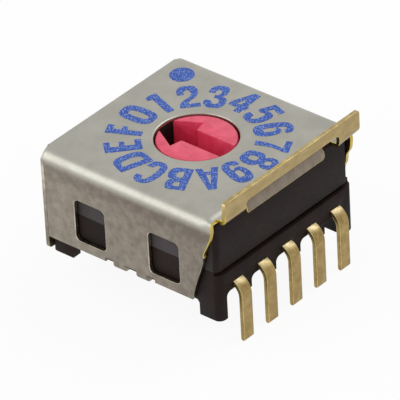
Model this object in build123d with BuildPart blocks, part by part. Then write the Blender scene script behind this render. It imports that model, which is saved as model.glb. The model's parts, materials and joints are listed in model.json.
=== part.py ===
from build123d import *
from math import atan2, degrees, sqrt
import os

# Coded rotary DIP switch: a folded sheet cover over an upper case and a base,
# with a red screwdriver rotor that turns a pierced code disc over spring contacts.
# Millimetres. The origin is on the rotor's axis, in the plane of the feet's soles.
# +Z is up, the terminals leave at -Y, and the rotor's arrow points to +Y at rest.

# Terminal row
terminal_pitch = 1.27
terminal_width = 0.48
terminal_thick = 0.16
leg_clear = 0.37             # base's front face to the outer face of the legs
terminal_drop = 0.95         # how far the tips reach below the soles
leg_bend = 0.62              # outer radius of the shoulder
tip_round = 0.07
terminal_codes = ["1", "2", "c", "4", "8"]  # weight of each terminal, c is the common one

# Contact fingers, one for each terminal of the row
finger_column = [-15, -10, 0, 8, 14]  # tenths of the terminal pitch from the middle
track_order = [0, 2, 4, 3, 1]            # counted in from the outermost track
finger_width = 0.24
finger_thick = 0.10
finger_length = 1.20
finger_nose = 0.22           # how far the tip runs on past the contact point
finger_gap = 0.03            # between the fingers and the code disc
jog_reach = 2.85             # rotor axis to the middle of the sideways run
jog_width = 0.30

# Folded cover
cover_side = 1.135           # middle of the end terminals to the outer faces of the walls
cover_front = 3.675          # rotor axis to the front edges of the plate and walls
cover_back = 3.77            # rotor axis to the outer face of the back wall
cover_top_z = 4.08
sheet = 0.15
side_fold = 0.33             # outer radius of the folds to the side walls
back_fold = 0.12
wall_bottom_z = 0.655
back_wall_drop = 0.53
back_wall_inset = 0.075      # side wall's outer face to the back wall's end
back_wall_corner = 0.15
corner_seam = 0.03
hole_gap = 0.065             # round the rotor
window_width = 1.31
window_height = 1.60
window_bottom_z = 1.03
window_offset = 1.61
window_shift = 0.07
window_corner = 0.18
cheek_z = 3.28               # the side walls' front edges are upright down to here
cheek_step = 0.27
cheek_step_z = 2.7
cheek_foot_y = 2.72          # rotor axis to the foot of the sloping front edge

# Front lip with its bridge, and the tongue lanced out under it
lip_reach = 0.335            # from the walls' front edges to the lip's face
lip_height = 0.65
lip_bend = 0.17
lip_inset = 0.365            # left wall to the lip's left end
lip_corner = 0.12
bridge_height = 0.44
opening_corner = 0.18
tongue_half = 2.02
tongue_slot = 0.395          # mean gap beside the tongue
tongue_reach = 0.165         # from the walls' front edges to the tongue's face
tongue_drop = 0.49
tongue_bend = 0.33
relief_depth = 0.18

# Clinch tabs under the side walls
tab_width = 0.48
tab_offset = 0.50
tab_reach = 0.55
tab_drop = 0.155             # below the wall's bottom edge
tab_bend = 0.20
tab_relief = 0.33            # beside the tabs
tab_relief_height = 0.15

# Mouldings
moulding_gap = 0.03          # between the cover's inner faces and the mouldings
parting_z = 1.96
parting_groove = 0.14
parting_groove_depth = 0.22
base_proud = 0.075           # the base stands this far in front of the upper case
base_corner = 0.28
case_corner = 0.22
case_edge = 0.10             # clears the inside of the cover's folds
back_corner = 0.15
rim_z = 0.61
recess_z = 1.05
floor_thick = 0.32
comb_thick = 0.26
notch_width = 0.94
notch_shift = -0.12
notch_corner = 0.20
foot_left = 0.365            # width of the left feet
foot_right = 0.605
foot_depth = 0.90
foot_sweep = 0.16            # radius of the hollow where a foot meets the rim
sole_edge = 0.04
rear_rim = 0.60
well_gap = 0.05              # round the rotor's flange
spigot_gap = 0.03            # inside the upper case
spigot_height = 0.18
channel_gap = 0.08
peg_inset = 0.545
peg_radius = 0.20
peg_height = 0.45
peg_gap = 0.03

# Rotor, its bearings and its seal
rotor_radius = 1.40
rotor_inset = 0.10           # below the cover's plate
rotor_edge = 0.04
bearing_gap = 0.04
flange_thick = 0.44
flange_gap = 0.06
positions = 16
scallop_radius = 0.20
scallop_depth = 0.12
arrow_depth = 0.95
arrow_tail_half = 0.40
arrow_shoulder_y = 0.33
arrow_barb_half = 0.865
arrow_barb_y = 0.42
arrow_tip_half = 0.24
arrow_overrun = 0.15         # past the rotor's edge, so the slot is open at both ends
spigot_key_radius = 0.62
spigot_key_flat = 0.50
key_gap = 0.02
pivot_radius = 0.40
pivot_gap = 0.04
pivot_reach = 0.31           # below the contact floor
pivot_end_gap = 0.05
socket_wall = 0.30
socket_floor = 0.22
seal_thick = 0.33
seal_gap = 0.02
seal_bevel = 0.07

# Code disc
disc_inset = 0.06            # inside the middle lines of the end terminals
disc_thick = 0.12
track_width = 0.24
track_margin = 0.18          # disc's edge to the middle of the outermost track
common_margin = 0.28         # rotor's key to the middle of the common track

# Detent spring
spring_thick = 0.12
spring_height = 0.36
spring_gap = 0.12            # between the spring's inside and the flange
nose_gap = 0.03
spring_key_width = 0.50
spring_key_gap = 0.04
spring_seat_gap = 0.02
flange_margin = 0.07         # the flange is this much larger than the disc
cavity_gap = 0.21            # round the spring

# Levels and outlines that follow from the sizes above
terminal_names = [f"terminal_{code}" for code in terminal_codes]
terminal_x = [(i - (len(terminal_codes) - 1) / 2) * terminal_pitch for i in range(len(terminal_codes))]
finger_x = [column * terminal_pitch / 10 for column in finger_column]
half_width = terminal_x[-1] + cover_side
plate_under_z = cover_top_z - sheet
lip_face = cover_front + lip_reach
opening_half = tongue_half + tongue_slot
opening_x = lip_inset / 2
opening_top_z = cover_top_z + lip_height - bridge_height
tongue_face = cover_front + tongue_reach
tab_face_z = wall_bottom_z - tab_drop
window_y = [window_shift - window_offset, window_shift + window_offset]
case_half = half_width - sheet - moulding_gap
case_back = cover_back - sheet - moulding_gap
case_top_z = plate_under_z - moulding_gap
base_front = cover_front + base_proud
front_corner = min(base_corner, foot_left - 2 * sole_edge)  # leaves the narrow feet a straight edge
floor_z = recess_z + floor_thick
spigot_top_z = parting_z + spigot_height
recess_left = -case_half + foot_left
recess_right = case_half - foot_right
recess_middle = (recess_left + recess_right) / 2
terminal_reach = base_front + leg_clear
disc_radius = terminal_x[-1] - disc_inset
disc_top_z = spigot_top_z
disc_bottom_z = disc_top_z - disc_thick
common_track = spigot_key_radius + common_margin
track_pitch = (disc_radius - track_margin - common_track) / max(track_order)
track_radius = [disc_radius - track_margin - order * track_pitch for order in track_order]
contact_y = [-sqrt(r ** 2 - x ** 2) for r, x in zip(track_radius, finger_x)]
root_y = [y - finger_length for y in contact_y]
flange_radius = disc_radius + flange_margin
flange_top_z = disc_top_z + flange_thick
ceiling_z = flange_top_z + flange_gap
well_radius = flange_radius + well_gap
cavity_radius = flange_radius + spring_gap + spring_thick + cavity_gap
hole_radius = rotor_radius + hole_gap
rotor_top_z = cover_top_z - rotor_inset
arrow_tip_y = rotor_radius + arrow_overrun
pivot_bottom_z = floor_z - pivot_reach
detent_step = 360 / positions
scallop_centre = flange_radius + scallop_radius - scallop_depth
peg_offset = case_half - peg_inset

os.makedirs("parts", exist_ok=True)

# Cover, one folded sheet
with BuildPart() as cover:
    with BuildSketch(Plane.XZ.offset(-cover_back)) as back_wall:
        with Locations((0, cover_top_z)):
            Rectangle(
                2 * half_width, cover_top_z - wall_bottom_z + back_wall_drop, align=(Align.CENTER, Align.MAX)
            )
        fillet(back_wall.vertices().group_by(Axis.Y)[-1], side_fold)
    extrude(amount=sheet)
    back_edges = cover.faces().sort_by(Axis.Y)[-1].edges()
    fillet(back_edges.sort_by(Axis.Z)[-3:], back_fold)
    with BuildSketch(Plane.XZ.offset(cover_front)):
        with BuildLine():
            FilletPolyline(
                (-half_width + sheet / 2, wall_bottom_z),
                (-half_width + sheet / 2, cover_top_z - sheet / 2),
                (half_width - sheet / 2, cover_top_z - sheet / 2),
                (half_width - sheet / 2, wall_bottom_z),
                radius=side_fold - sheet / 2,
            )
        trace(line_width=sheet)
    extrude(amount=-(cover_front + cover_back - sheet))
    # Open seams beside the back wall, whose ends are set in
    with BuildSketch(Plane.XZ.offset(-cover_back + sheet)):
        for side in (-1, 1):
            with Locations((side * half_width, cover_top_z - side_fold)):
                Rectangle(2 * side_fold, cover_top_z, align=(Align.CENTER, Align.MAX))
    extrude(amount=corner_seam, mode=Mode.SUBTRACT)
    with BuildSketch(Plane.XZ.offset(-cover_back)):
        for side in (-1, 1):
            with Locations((side * half_width, cover_top_z - side_fold)):
                Rectangle(2 * back_wall_inset, cover_top_z, align=(Align.CENTER, Align.MAX))
    extrude(amount=sheet, mode=Mode.SUBTRACT)
    fillet(cover.edges().filter_by(Axis.Y).group_by(Axis.Z)[0], back_wall_corner)
    # Sloping front edges of the side walls
    with BuildSketch(Plane.YZ.offset(-half_width)):
        with BuildLine():
            Polyline(
                (-cover_front, cheek_z),
                (-cover_front + cheek_step, cheek_step_z),
                (-cheek_foot_y, wall_bottom_z),
                (-cover_front, wall_bottom_z),
                close=True,
            )
        make_face()
    extrude(amount=2 * half_width, mode=Mode.SUBTRACT)
    # Windows, through both side walls
    with BuildSketch(Plane.YZ.offset(-half_width)):
        with Locations(*[(y, window_bottom_z + window_height / 2) for y in window_y]):
            RectangleRounded(window_width, window_height, window_corner)
    extrude(amount=2 * half_width, mode=Mode.SUBTRACT)
    # Clinch tabs folded under, in their relief
    with BuildSketch(Plane.YZ.offset(-half_width)):
        with Locations((0, wall_bottom_z)):
            Rectangle(2 * tab_offset + tab_width + 2 * tab_relief, 2 * tab_relief_height)
    extrude(amount=2 * half_width, mode=Mode.SUBTRACT)
    for side in (-1, 1):
        for middle in (-tab_offset, tab_offset):
            with BuildSketch(Plane.XZ.offset(-middle - tab_width / 2)):
                with BuildLine():
                    FilletPolyline(
                        (side * (half_width - sheet / 2), wall_bottom_z + tab_relief_height),
                        (side * (half_width - sheet / 2), tab_face_z + sheet / 2),
                        (side * (half_width - tab_reach), tab_face_z + sheet / 2),
                        radius=tab_bend - sheet / 2,
                    )
                trace(line_width=sheet)
            extrude(amount=tab_width)
    # Lip turned up along the front
    with BuildSketch(Plane.YZ.offset(-half_width + lip_inset)):
        with BuildLine():
            FilletPolyline(
                (-cover_front, cover_top_z - sheet / 2),
                (-lip_face + sheet / 2, cover_top_z - sheet / 2),
                (-lip_face + sheet / 2, cover_top_z + lip_height),
                radius=lip_bend - sheet / 2,
            )
        trace(line_width=sheet)
    extrude(amount=2 * half_width - lip_inset)
    lip_ends = cover.edges().filter_by(Axis.Y).group_by(Axis.Z)[-1]
    fillet(lip_ends, lip_corner)
    # Opening under the bridge, with the plate relieved beside the tongue
    with BuildSketch(Plane.XZ.offset(lip_face)) as opening:
        with Locations((opening_x, opening_top_z)):
            Rectangle(2 * opening_half, lip_height, align=(Align.CENTER, Align.MAX))
        fillet(opening.vertices().group_by(Axis.Y)[-1], opening_corner)
    extrude(amount=-(lip_face - cover_front), mode=Mode.SUBTRACT)
    with BuildSketch(Plane.XZ.offset(cover_front)):
        with Locations((opening_x, cover_top_z)):
            Rectangle(2 * opening_half, 2 * sheet)
    extrude(amount=-relief_depth, mode=Mode.SUBTRACT)
    with BuildSketch(Plane.YZ.offset(-tongue_half)):
        with BuildLine():
            FilletPolyline(
                (-cover_front + relief_depth + sheet, cover_top_z - sheet / 2),
                (-tongue_face + sheet / 2, cover_top_z - sheet / 2),
                (-tongue_face + sheet / 2, cover_top_z - tongue_drop),
                radius=tongue_bend - sheet / 2,
            )
        trace(line_width=sheet)
    extrude(amount=2 * tongue_half)
    # Hole for the rotor
    with BuildSketch(Plane.XY.offset(plate_under_z)):
        Circle(hole_radius)
    extrude(amount=sheet, mode=Mode.SUBTRACT)
cover.part.label = "cover"
export_step(cover.part, "parts/cover.step")

# Upper case, with the rotor's bearing and the seal's seat
with BuildPart() as upper_case:
    with BuildSketch(Plane.XY.offset(parting_z)) as case_outline:
        with Locations((0, case_back)):
            Rectangle(2 * case_half, case_back + cover_front, align=(Align.CENTER, Align.MAX))
        fillet(case_outline.vertices().group_by(Axis.Y)[0], case_corner)
        fillet(case_outline.vertices().group_by(Axis.Y)[-1], back_corner)
    extrude(amount=case_top_z - parting_z)
    chamfer(upper_case.faces().sort_by(Axis.Z)[-1].edges(), case_edge)
    with BuildSketch(Plane.XY.offset(parting_z)):
        Circle(cavity_radius)
    extrude(amount=ceiling_z - parting_z, mode=Mode.SUBTRACT)
    with BuildSketch(Plane.XY.offset(ceiling_z)):
        Circle(rotor_radius + seal_gap + seal_thick + seal_gap)
    extrude(amount=flange_top_z + seal_thick + 2 * seal_gap - ceiling_z, mode=Mode.SUBTRACT)
    with BuildSketch(Plane.XY.offset(ceiling_z)):
        Circle(rotor_radius + bearing_gap)
    extrude(amount=case_top_z - ceiling_z, mode=Mode.SUBTRACT)
    # Key that holds the detent spring's open ends
    with BuildSketch(Plane.XY.offset(spigot_top_z + spring_seat_gap)):
        with Locations((0, cavity_radius + sheet)):
            Rectangle(
                spring_key_width,
                cavity_radius + sheet - flange_radius - spring_gap,
                align=(Align.CENTER, Align.MAX),
            )
    extrude(amount=ceiling_z - spigot_top_z - spring_seat_gap)
    with BuildSketch(Plane.XY.offset(parting_z)):
        with GridLocations(2 * peg_offset, 2 * peg_offset, 2, 2):
            Circle(peg_radius + peg_gap)
    extrude(amount=peg_height + peg_gap, mode=Mode.SUBTRACT)
upper_case.part.label = "upper_case"
export_step(upper_case.part, "parts/upper_case.step")

# Terminals, each a leg, a run through the base and a contact finger
terminals = []
for name, leg_x, tip_x, tip_y, start_y in zip(terminal_names, terminal_x, finger_x, contact_y, root_y):
    with BuildPart() as terminal:
        with BuildSketch(Plane.YZ.offset(leg_x - terminal_width / 2)):
            with BuildLine():
                run = Line(
                    (-jog_reach, floor_z - terminal_thick / 2),
                    (-terminal_reach + leg_bend, floor_z - terminal_thick / 2),
                )
                shoulder = JernArc(run @ 1, run % 1, leg_bend - terminal_thick / 2, 90)
                Line(shoulder @ 1, (-terminal_reach + terminal_thick / 2, -terminal_drop))
            trace(line_width=terminal_thick)
        extrude(amount=terminal_width)
        tip_edges = terminal.edges().filter_by(Axis.X).group_by(Axis.Z)[0]
        fillet(tip_edges, tip_round)
        # Sideways run and the strip up to the finger's root
        with BuildSketch(Plane.XY.offset(floor_z - terminal_thick)):
            with Locations(((leg_x + tip_x) / 2, -jog_reach)):
                Rectangle(abs(leg_x - tip_x) + finger_width, jog_width)
            with Locations((tip_x, -jog_reach)):
                Rectangle(finger_width, start_y + jog_reach, align=(Align.CENTER, Align.MIN))
        extrude(amount=terminal_thick)
        # Finger, rising to the code disc with its tip turned down
        contact_z = disc_bottom_z - finger_gap - finger_thick / 2
        with BuildSketch(Plane.YZ.offset(tip_x - finger_width / 2)):
            with BuildLine():
                Polyline(
                    (start_y - finger_width, floor_z - finger_thick / 2),
                    (start_y, floor_z - finger_thick / 2),
                    (tip_y, contact_z),
                    (tip_y + finger_nose, contact_z - finger_nose),
                )
            trace(line_width=finger_thick)
            with Locations((start_y, floor_z - finger_thick / 2), (tip_y, contact_z)):
                Circle(finger_thick / 2)
        extrude(amount=finger_width)
    terminal.part.label = name
    export_step(terminal.part, f"parts/{name}.step")
    terminals.append(terminal.part)

# Base, with its feet, the comb of notches and the contact floor
with BuildPart() as base:
    # Feet at the four corners, inside the rim
    with BuildSketch() as feet:
        with Locations((0, case_back)):
            Rectangle(2 * case_half, case_back + base_front, align=(Align.CENTER, Align.MAX))
        fillet(feet.vertices().group_by(Axis.Y)[0], front_corner)
        fillet(feet.vertices().group_by(Axis.Y)[-1], back_corner)
        with Locations((recess_middle, 0)):
            Rectangle(recess_right - recess_left, 3 * base_front, mode=Mode.SUBTRACT)
        with Locations((0, (case_back - base_front) / 2)):
            Rectangle(3 * case_half, case_back + base_front - 2 * foot_depth, mode=Mode.SUBTRACT)
    extrude(amount=rim_z)
    chamfer(base.faces().group_by(Axis.Z)[0].edges(), sole_edge)
    with BuildSketch(Plane.XY.offset(rim_z)) as base_outline:
        with Locations((0, case_back)):
            Rectangle(2 * case_half, case_back + base_front, align=(Align.CENTER, Align.MAX))
        fillet(base_outline.vertices().group_by(Axis.Y)[0], front_corner)
        fillet(base_outline.vertices().group_by(Axis.Y)[-1], back_corner)
    extrude(amount=parting_z - rim_z)
    with BuildSketch(Plane.XY.offset(parting_z)):
        Circle(cavity_radius - spigot_gap)
    extrude(amount=spigot_top_z - parting_z)
    front_roots, back_roots = base.edges().filter_by(Axis.X).group_by(Axis.Z)[2].group_by(Axis.Y)[1:3]
    fillet(front_roots + back_roots, foot_sweep)
    # Recess under the floor, open to the front through the comb
    with BuildSketch(Plane.XY.offset(rim_z)):
        with Locations((recess_middle, -base_front + comb_thick)):
            Rectangle(
                recess_right - recess_left,
                base_front - comb_thick + case_back - rear_rim,
                align=(Align.CENTER, Align.MIN),
            )
    extrude(amount=recess_z - rim_z, mode=Mode.SUBTRACT)
    with BuildSketch(Plane.XZ.offset(base_front)) as notches:
        with Locations(*[(x + notch_shift, recess_z) for x in terminal_x]):
            Rectangle(notch_width, recess_z - rim_z, align=(Align.CENTER, Align.MAX))
        fillet(notches.vertices().group_by(Axis.Y)[-1], notch_corner)
    extrude(amount=-comb_thick, mode=Mode.SUBTRACT)
    # Pivot socket in its boss
    with BuildSketch(Plane.XY.offset(pivot_bottom_z - pivot_end_gap - socket_floor)):
        Circle(pivot_radius + pivot_gap + socket_wall)
    extrude(amount=floor_z - pivot_bottom_z + pivot_end_gap + socket_floor)
    with BuildSketch(Plane.XY.offset(floor_z)):
        Circle(well_radius)
    extrude(amount=spigot_top_z - floor_z, mode=Mode.SUBTRACT)
    with BuildSketch(Plane.XY.offset(pivot_bottom_z - pivot_end_gap)):
        Circle(pivot_radius + pivot_gap)
    extrude(amount=floor_z - pivot_bottom_z + pivot_end_gap, mode=Mode.SUBTRACT)
    # Room for the fingers outside the well
    with BuildSketch(Plane.XY.offset(floor_z)):
        for tip_x, tip_y, start_y in zip(finger_x, contact_y, root_y):
            with Locations((tip_x, start_y - finger_width)):
                Rectangle(
                    finger_width + 2 * channel_gap,
                    tip_y - start_y + finger_width,
                    align=(Align.CENTER, Align.MIN),
                )
    extrude(amount=parting_z - floor_z, mode=Mode.SUBTRACT)
    # Beds of the terminals, moulded round them
    for terminal_part in terminals:
        add(terminal_part, mode=Mode.SUBTRACT)
    # Pockets over the clinch tabs
    with BuildSketch(Plane.XY.offset(rim_z)):
        for side in (-1, 1):
            with Locations(*[(side * case_half, y) for y in (-tab_offset, tab_offset)]):
                Rectangle(2 * tab_reach, tab_width + 2 * moulding_gap)
    extrude(amount=tab_face_z + sheet + moulding_gap - rim_z, mode=Mode.SUBTRACT)
    # Parting groove along the front
    with BuildSketch(Plane.XY.offset(parting_z - parting_groove)):
        with Locations((0, -base_front)):
            Rectangle(3 * half_width, 2 * parting_groove_depth)
    extrude(amount=parting_groove, mode=Mode.SUBTRACT)
    with BuildSketch(Plane.XY.offset(parting_z)):
        with GridLocations(2 * peg_offset, 2 * peg_offset, 2, 2):
            Circle(peg_radius)
    extrude(amount=peg_height)
base.part.label = "base"
export_step(base.part, "parts/base.step")

# Rotor, with its arrow slot, detent flange and lower pivot
with BuildPart() as rotor:
    with BuildSketch(Plane.XY.offset(disc_top_z)):
        Circle(flange_radius)
        with PolarLocations(scallop_centre, positions):
            Circle(scallop_radius, mode=Mode.SUBTRACT)
    extrude(amount=flange_thick)
    with BuildSketch(Plane.XY.offset(flange_top_z)):
        Circle(rotor_radius)
    extrude(amount=rotor_top_z - flange_top_z)
    chamfer(rotor.faces().sort_by(Axis.Z)[-1].edges(), rotor_edge)
    with BuildSketch(Plane.XY.offset(disc_bottom_z)):
        Circle(spigot_key_radius)
        Rectangle(2 * spigot_key_radius, 2 * spigot_key_flat, mode=Mode.INTERSECT)
    extrude(amount=disc_thick)
    with BuildSketch(Plane.XY.offset(pivot_bottom_z)):
        Circle(pivot_radius)
    extrude(amount=disc_bottom_z - pivot_bottom_z)
    chamfer(rotor.faces().sort_by(Axis.Z)[0].edges(), rotor_edge)
    with BuildSketch(Plane.XY.offset(rotor_top_z - arrow_depth)):
        with BuildLine():
            Polyline(
                (-arrow_tail_half, -arrow_tip_y),
                (arrow_tail_half, -arrow_tip_y),
                (arrow_tail_half, arrow_shoulder_y),
                (arrow_barb_half, arrow_barb_y),
                (arrow_tip_half, arrow_tip_y),
                (-arrow_tip_half, arrow_tip_y),
                (-arrow_barb_half, arrow_barb_y),
                (-arrow_tail_half, arrow_shoulder_y),
                close=True,
            )
        make_face()
    extrude(amount=arrow_depth, mode=Mode.SUBTRACT)
rotor.part.label = "rotor"
export_step(rotor.part, "parts/rotor.step")

# Code disc, with windows where a track's contact is open
with BuildPart() as code_disc:
    with BuildSketch(Plane.XY.offset(disc_bottom_z)) as disc_outline:
        Circle(disc_radius)
        with BuildSketch(mode=Mode.SUBTRACT):
            Circle(spigot_key_radius + key_gap)
            Rectangle(2 * disc_radius, 2 * (spigot_key_flat + key_gap), mode=Mode.INTERSECT)
        for radius, code, tip_x, tip_y in zip(track_radius, terminal_codes, finger_x, contact_y):
            contact_angle = degrees(atan2(tip_y, tip_x))
            windows = positions // (2 * int(code)) if code.isdigit() else 0
            for window in range(windows):
                span = int(code) * detent_step
                start = contact_angle + 2 * window * span - detent_step / 2
                with BuildLine(mode=Mode.PRIVATE) as track:
                    CenterArc((0, 0), radius, start, span)
                trace(track.edges(), line_width=track_width, mode=Mode.SUBTRACT)
    extrude(amount=disc_thick)
code_disc.part.label = "code_disc"
export_step(code_disc.part, "parts/code_disc.step")

# Seal ring round the rotor, square in section with bevelled corners
with BuildPart() as seal_ring:
    with BuildSketch(Plane.XZ):
        with Locations((rotor_radius + seal_gap + seal_thick / 2, flange_top_z + seal_gap + seal_thick / 2)):
            Rectangle(seal_thick, seal_thick)
    revolve(axis=Axis.Z)
    chamfer(seal_ring.edges(), seal_bevel)
seal_ring.part.label = "seal_ring"
export_step(seal_ring.part, "parts/seal_ring.step")

# Detent spring, an open ring with a nose in each of two opposite scallops
with BuildPart() as detent_spring:
    with BuildSketch(Plane.XY.offset(spigot_top_z + spring_seat_gap)):
        Circle(flange_radius + spring_gap + spring_thick)
        Circle(flange_radius + spring_gap, mode=Mode.SUBTRACT)
        with Locations((0, flange_radius)):
            Rectangle(spring_key_width + 2 * spring_key_gap, flange_radius, mode=Mode.SUBTRACT)
        with PolarLocations(scallop_centre, 2):
            Circle(scallop_radius - nose_gap)
    extrude(amount=spring_height)
detent_spring.part.label = "detent_spring"
export_step(detent_spring.part, "parts/detent_spring.step")
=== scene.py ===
import json
import logging
import math
from collections.abc import Sequence
from dataclasses import dataclass, field
from enum import Enum

import bmesh
import bpy
import numpy as np
from mathutils import Matrix
from mathutils.geometry import delaunay_2d_cdt


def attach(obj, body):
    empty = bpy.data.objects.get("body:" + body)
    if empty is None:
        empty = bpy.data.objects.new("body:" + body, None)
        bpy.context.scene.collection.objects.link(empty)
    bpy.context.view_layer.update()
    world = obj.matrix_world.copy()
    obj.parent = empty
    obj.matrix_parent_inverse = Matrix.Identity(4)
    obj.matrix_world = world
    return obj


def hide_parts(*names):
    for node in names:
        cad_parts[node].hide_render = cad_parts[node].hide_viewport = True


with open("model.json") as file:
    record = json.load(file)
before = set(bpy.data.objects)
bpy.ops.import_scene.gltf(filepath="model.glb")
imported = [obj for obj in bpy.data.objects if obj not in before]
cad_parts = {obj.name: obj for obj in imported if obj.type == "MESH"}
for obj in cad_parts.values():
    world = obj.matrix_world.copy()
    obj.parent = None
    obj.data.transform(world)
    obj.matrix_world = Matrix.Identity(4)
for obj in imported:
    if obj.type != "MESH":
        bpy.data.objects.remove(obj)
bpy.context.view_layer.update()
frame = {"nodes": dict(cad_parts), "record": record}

log = logging.getLogger("rotary_dip_switch")

MM = 0.001  # one millimetre in the scene's metres
TINY = 1e-6  # slack of a comparison, in mm
NO_LENGTH = 1e-9  # a length below this counts as none
LEAST_SPREAD = 0.5  # what a mitre is divided by at a sharp corner, at least
PLATE_TOP = 4.08  # height of the cover's plate, in mm

Tree = bpy.types.NodeTree
Socket = bpy.types.NodeSocket
Pair = tuple[float, float]
Triple = tuple[float, float, float]


def linear(hex_colour: str) -> tuple[float, float, float, float]:
    """Turns an sRGB hex colour into linear light.

    Args:
        hex_colour: A colour such as "#A3A198".

    Returns:
        Red, green, blue and an alpha of one, in linear light.
    """
    values = np.array([int(hex_colour[i : i + 2], 16) for i in (1, 3, 5)]) / 255
    values = np.where(values <= 0.04045, values / 12.92, ((values + 0.055) / 1.055) ** 2.4)
    return (*(float(v) for v in values), 1.0)


def add_node(
    tree: Tree,
    kind: str,
    values: dict[str | int, object] | None = None,
    links: dict[str | int, Socket] | None = None,
    **settings: object,
) -> bpy.types.Node:
    """Adds a shader node with its settings, socket values and incoming links.

    Args:
        tree: The node tree that takes the node.
        kind: Blender's name of the node type.
        values: Values for input sockets, by socket name or number.
        links: Output sockets to connect, by input socket name or number.
        **settings: The node's own properties.

    Returns:
        The new node.
    """
    node = tree.nodes.new(kind)
    for name, value in settings.items():
        setattr(node, name, value)
    for name, value in (values or {}).items():
        node.inputs[name].default_value = value
    for name, socket in (links or {}).items():
        tree.links.new(socket, node.inputs[name])
    return node


def fresh_tree(owner: bpy.types.ID) -> Tree:
    """Turns on the nodes of a material or a world, and empties its tree.

    Args:
        owner: The material or the world.

    Returns:
        Its node tree.
    """
    owner.use_nodes = True
    owner.node_tree.nodes.clear()
    return owner.node_tree


def place_object(name: str, data: bpy.types.ID) -> bpy.types.Object:
    """Makes an object at the origin and links it to the scene.

    Args:
        name: Its name.
        data: Its mesh, lamp or camera data.

    Returns:
        The object.
    """
    made = bpy.data.objects.new(name, data)
    bpy.context.scene.collection.objects.link(made)
    return made


def standing(place: np.ndarray, right: np.ndarray, up: np.ndarray, back: np.ndarray) -> Matrix:
    """The matrix of a lamp or a camera that stands at a place, in mm, with these three axes."""
    turn = Matrix(np.column_stack([right, up, back]).tolist()).to_4x4()
    return Matrix.Translation(place * MM) @ turn


def per_mm(size: float) -> float:
    """Noise scale, in periods per metre, of a pattern whose features measure size millimetres."""
    return 1 / (size * MM)


@dataclass(frozen=True)
class Mottling:
    """Light and dark patches, softly blended by noise.

    Attributes:
        light: sRGB hex of the light patches.
        dark: sRGB hex of the dark patches.
        patch: Size of the patches, in mm.
        contrast: Share of the noise's range over which light turns to dark.
        detail: Octaves of the noise.
        rough: How strong its fine octaves are.
    """

    light: str
    dark: str
    patch: float = 0.6
    contrast: float = 0.3
    detail: float = 5.0
    rough: float = 0.62

    def colour(self, tree: Tree, place: Socket, lean: Socket | None = None) -> Socket:
        """Adds the patches to a material.

        Args:
            tree: The material's node tree.
            place: The coordinates that the noise is read at.
            lean: What is added to the noise, where some places are lighter or darker.

        Returns:
            The colour.
        """
        values = {"Scale": per_mm(self.patch), "Detail": self.detail, "Roughness": self.rough}
        noise = add_node(tree, "ShaderNodeTexNoise", values, {"Vector": place}).outputs["Fac"]
        if lean is not None:
            noise = add_node(tree, "ShaderNodeMath", links={0: noise, 1: lean}).outputs[0]
        ends = {"From Min": 0.5 - self.contrast / 2, "From Max": 0.5 + self.contrast / 2}
        blend = add_node(tree, "ShaderNodeMapRange", ends, {"Value": noise}).outputs["Result"]
        ends = {6: linear(self.dark), 7: linear(self.light)}
        return add_node(tree, "ShaderNodeMix", ends, {0: blend}, data_type="RGBA").outputs[2]


@dataclass(frozen=True)
class Stain(Mottling):
    """Patches with stronger fine octaves, as stains have."""

    patch: float = 0.5
    detail: float = 6.0
    rough: float = 0.66


@dataclass(frozen=True)
class Finish:
    """A surface with a mottled colour, a mottled gloss and a fine relief.

    Attributes:
        name: The material's name.
        tone: Its colour.
        metallic: Metallic value of the shader.
        roughness: Roughness of the shiny and of the dull patches.
        grain: Size of the relief's grain, in mm.
        relief: Height of the relief, in mm.
        stretch: How much the pattern is drawn out along X, Y and Z.
        specular: Specular level of a surface that isn't metal.
        grain_detail: Octaves of the grain's noise.
        grain_rough: How strong its fine octaves are.
        gloss_range: Values of that noise between which shiny turns to dull.
    """

    name: str
    tone: Mottling
    metallic: float
    roughness: Pair
    grain: float
    relief: float
    stretch: Triple = (1.0, 1.0, 1.0)
    specular: float = 0.5
    grain_detail: float = 3.0
    grain_rough: float = 0.6
    gloss_range: Pair = (0.3, 0.7)

    def colour(self, tree: Tree, place: Socket) -> Socket:
        """The colour over the whole surface, at the stretched coordinates of place."""
        return self.tone.colour(tree, place)

    def material(self) -> bpy.types.Material:
        """Builds the material.

        Returns:
            A material whose nodes give the colour, the roughness and the bump.
        """
        made = bpy.data.materials.new(self.name)
        tree = fresh_tree(made)
        source = add_node(tree, "ShaderNodeTexCoord").outputs["Object"]
        scale = {"Scale": tuple(1 / s for s in self.stretch)}
        place = add_node(tree, "ShaderNodeMapping", scale, {"Vector": source}).outputs["Vector"]
        values = {"Detail": self.grain_detail, "Roughness": self.grain_rough}
        values["Scale"] = per_mm(self.grain)
        grain = add_node(tree, "ShaderNodeTexNoise", values, {"Vector": place}).outputs["Fac"]
        (low, high), (shiny, dull) = self.gloss_range, self.roughness
        values = {"From Min": low, "From Max": high, "To Min": shiny, "To Max": dull}
        roughness = add_node(tree, "ShaderNodeMapRange", values, {"Value": grain})
        values = {"Strength": 1.0, "Distance": self.relief * MM}
        bump = add_node(tree, "ShaderNodeBump", values, {"Height": grain})
        shader = add_node(
            tree,
            "ShaderNodeBsdfPrincipled",
            {"Metallic": self.metallic, "Specular IOR Level": self.specular},
            {
                "Base Color": self.colour(tree, place),
                "Roughness": roughness.outputs["Result"],
                "Normal": bump.outputs["Normal"],
            },
        )
        add_node(tree, "ShaderNodeOutputMaterial", links={"Surface": shader.outputs["BSDF"]})
        return made


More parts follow.
